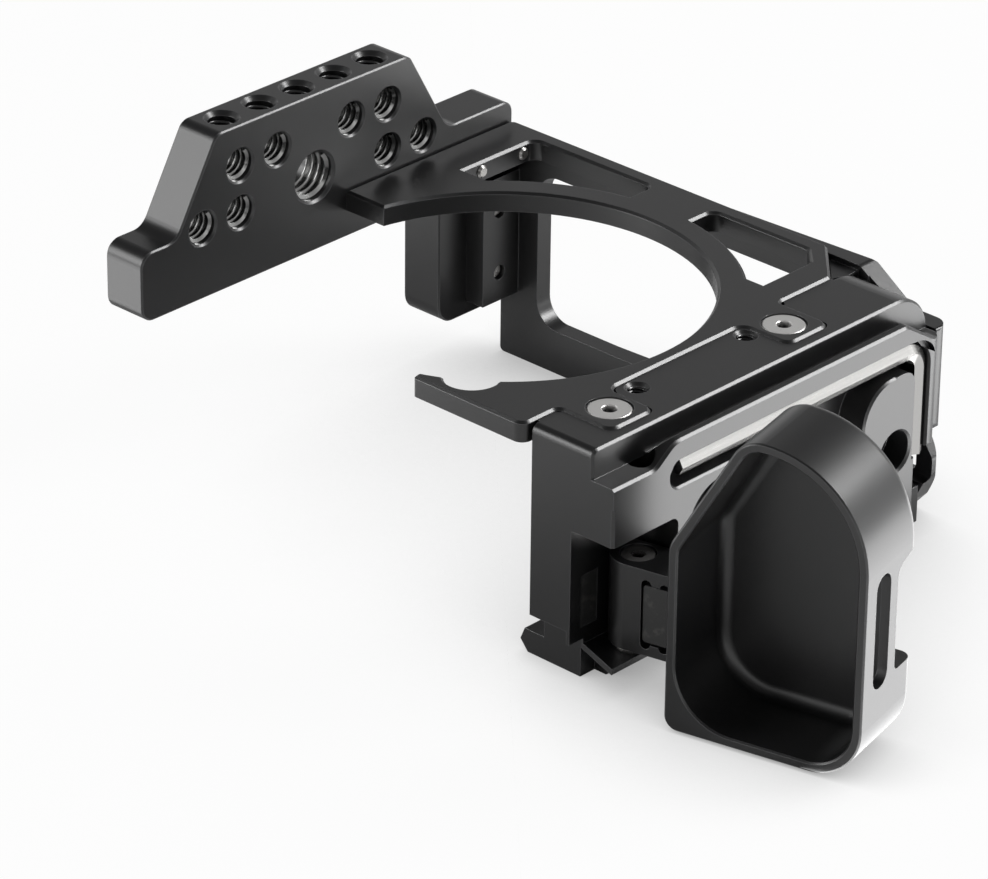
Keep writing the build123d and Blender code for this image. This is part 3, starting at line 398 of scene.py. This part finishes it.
# ---- Screws from the ring into the base ---------------------------------
# Stainless, countersunk, with a hexagon socket. The faces are turned, which
# leaves fine rings round the socket; the socket's bottom is painted shade.

# radii and depths over which the socket's painted shade fades out
SOCKET_RADII = (0.0014, 0.0017)
SOCKET_DEPTHS = (0.0009, 0.0003)


def turned_steel(name, colour, rough, axis_x, axis_y, face_height):
    """Steel with fine rings round axes that stand at +axis_x and -axis_x."""
    metal = bpy.data.materials.new(name)
    tree = cleared(metal)
    where = object_place(tree)
    split = tree.nodes.new("ShaderNodeSeparateXYZ")
    tree.links.new(where, split.inputs[0])
    either_side = arithmetic(tree, "ABSOLUTE", split.outputs["X"], 0.0)
    off_x = arithmetic(tree, "SUBTRACT", either_side, axis_x)
    off_y = arithmetic(tree, "SUBTRACT", split.outputs["Y"], axis_y)
    squares = arithmetic(tree, "ADD", arithmetic(tree, "MULTIPLY", off_x, off_x),
                         arithmetic(tree, "MULTIPLY", off_y, off_y))
    out_from_axis = arithmetic(tree, "SQRT", squares, 0.0)
    rings_at = tree.nodes.new("ShaderNodeCombineXYZ")
    tree.links.new(out_from_axis, rings_at.inputs["X"])
    rings = noise(tree, rings_at.outputs[0], 9000.0, 2.0, 0.6)
    fine = noise(tree, where, 2400.0, 2.0, 0.5)
    both = arithmetic(tree, "MULTIPLY", arithmetic(tree, "ADD", rings, fine), 0.5)
    # painted shade: the socket's bottom is painted near black for the shade inside it
    deep = spread(tree, split.outputs["Z"], 1.0, 0.0,
                  face_height - SOCKET_DEPTHS[0], face_height - SOCKET_DEPTHS[1])
    inside = spread(tree, out_from_axis, 1.0, 0.0, *SOCKET_RADII)
    socket = arithmetic(tree, "MULTIPLY", deep, inside)
    shader = tree.nodes.new("ShaderNodeBsdfPrincipled")
    shader.inputs["Metallic"].default_value = 0.8
    duller = tuple(c * 0.82 for c in colour)
    tone = two_tone(tree, both, duller, colour)
    tree.links.new(two_tone(tree, socket, tone, (0.03, 0.03, 0.03)), shader.inputs["Base Color"])
    tree.links.new(spread(tree, both, rough - 0.06, rough + 0.08), shader.inputs["Roughness"])
    tree.links.new(bump(tree, rings, 0.20, 0.00002), shader.inputs["Normal"])
    surface(tree, shader)
    return metal


ear_steel = turned_steel("turned_stainless", (0.94, 0.93, 0.91), 0.46,
                         0.02285, -0.0466, 0.04785)
finish_with(ear_steel, "ring_screws")


# ---- Small screws and dowel pins ----------------------------------------
# Stainless M3 and M2.5 screws with hexagon sockets, from the top plate into
# the ring and the side frame and from the side frame into the base, and two
# ground pins that place the ring on the base.

satin = steel("satin_stainless", (0.60, 0.59, 0.57), 0.28)
finish_with(satin, "top_ring_screws", "top_frame_screws", "foot_screws", "dowel_pins")


# ---- Hinge screw and washer ---------------------------------------------
# A steel shoulder screw with its head sunk in the cup's arm, and a thin
# washer under the arm.

hinge_steel = turned_steel("hinge_stainless", (0.40, 0.39, 0.38), 0.24, 0.0248, -0.056, 0.0237)
finish_with(hinge_steel, "hinge_screw")
finish_with(satin, "hinge_washer")


# ---- Magnets ------------------------------------------------------------
# Nickel plated magnets under the key. The one in the base and the one in the
# cup's arm are dark plated blocks, glued into their pockets with a little
# glue showing.

plated = steel("bright_nickel", (0.62, 0.60, 0.57), 0.20)
finish_with(plated, "key_magnets")


def dark_block(name):
    metal = bpy.data.materials.new(name)
    tree = cleared(metal)
    where = object_place(tree)
    grit = noise(tree, where, 1500.0, 4.0, 0.6)
    smear = noise(tree, where, 420.0, 3.0, 0.6)
    glue = spread(tree, smear, 0.0, 1.0, 0.56, 0.66)
    shader = tree.nodes.new("ShaderNodeBsdfPrincipled")
    shader.inputs["IOR"].default_value = 1.7
    tone = two_tone(tree, grit, (0.006, 0.006, 0.006), (0.018, 0.018, 0.018))
    tree.links.new(two_tone(tree, glue, tone, (0.040, 0.039, 0.036)), shader.inputs["Base Color"])
    tree.links.new(spread(tree, grit, 0.42, 0.62), shader.inputs["Roughness"])
    tree.links.new(bump(tree, grit, 0.5, 0.00008), shader.inputs["Normal"])
    surface(tree, shader)
    return metal


finish_with(dark_block("dark_plated_magnet"), "latch_magnet", "keeper_magnet")


# ---- Rubber pads --------------------------------------------------------
# Thin black silicone, cut from sheet and glued into shallow beds so that the
# camera touches rubber and not metal.

def rubber_sheet(name):
    soft = bpy.data.materials.new(name)
    tree = cleared(soft)
    where = object_place(tree)
    grain = noise(tree, where, 2200.0, 4.0, 0.65)
    dust = noise(tree, where, 260.0, 4.0, 0.6)
    shader = tree.nodes.new("ShaderNodeBsdfPrincipled")
    shader.inputs["IOR"].default_value = 1.45
    tree.links.new(two_tone(tree, dust, (0.012, 0.012, 0.012), (0.024, 0.024, 0.023)),
                   shader.inputs["Base Color"])
    tree.links.new(spread(tree, grain, 0.68, 0.88), shader.inputs["Roughness"])
    tree.links.new(bump(tree, grain, 0.4, 0.00006), shader.inputs["Normal"])
    surface(tree, shader)
    return soft


finish_with(rubber_sheet("black_silicone"), "base_pad", "side_pad", "rear_pad")


# ---- Hex key ------------------------------------------------------------
# Chrome vanadium rod, 3 mm across its flats, drawn, bent, and nickel plated,
# with the fine lines of drawing along it and a short leg that is painted darker
# as painted shade. Magnets hold it in its slot.

ALONG_GRAIN = 70.0     # noise scales along and across the lines of drawing
ACROSS_GRAIN = 3200.0


def drawn_rod(name, colour, rough, bend_x):
    metal = bpy.data.materials.new(name)
    tree = cleared(metal)
    where = object_place(tree)
    grains = []
    for stretch in ((ALONG_GRAIN, ACROSS_GRAIN, ACROSS_GRAIN),
                    (ACROSS_GRAIN, ACROSS_GRAIN, ALONG_GRAIN)):
        lines = tree.nodes.new("ShaderNodeMapping")
        lines.inputs["Scale"].default_value = stretch
        tree.links.new(where, lines.inputs["Vector"])
        grains.append(noise(tree, lines.outputs[0], 1.0, 3.0, 0.6))
    split = tree.nodes.new("ShaderNodeSeparateXYZ")
    tree.links.new(where, split.inputs[0])
    short_leg = spread(tree, split.outputs["X"], 0.0, 1.0, bend_x - 0.0015, bend_x)
    pick = tree.nodes.new("ShaderNodeMix")
    tree.links.new(short_leg, pick.inputs["Factor"])
    tree.links.new(grains[0], pick.inputs["A"])
    tree.links.new(grains[1], pick.inputs["B"])
    lines = pick.outputs["Result"]
    shader = tree.nodes.new("ShaderNodeBsdfPrincipled")
    shader.inputs["Metallic"].default_value = 1.0
    duller = tuple(c * 0.88 for c in colour)
    tone = two_tone(tree, lines, duller, colour)
    # painted shade: the short leg is painted darker to stand in for the dimmer light it reflects
    painted_leg_shade = tuple(c * 0.15 for c in colour)
    tree.links.new(two_tone(tree, short_leg, tone, painted_leg_shade), shader.inputs["Base Color"])
    tree.links.new(spread(tree, lines, rough - 0.05, rough + 0.07), shader.inputs["Roughness"])
    tree.links.new(bump(tree, lines, 0.12, 0.00002), shader.inputs["Normal"])
    surface(tree, shader)
    return metal


finish_with(drawn_rod("plated_key", (0.92, 0.91, 0.89), 0.24, 0.0452), "hex_key")


# ---- Camera screw and its clip ------------------------------------------
# Stainless 1/4-20 screw with a wide slotted head in the recess, kept in the
# plate by a spring clip round its neck.

finish_with(satin, "camera_screw")
finish_with(steel("spring_steel", (0.42, 0.42, 0.42), 0.30), "screw_clip")
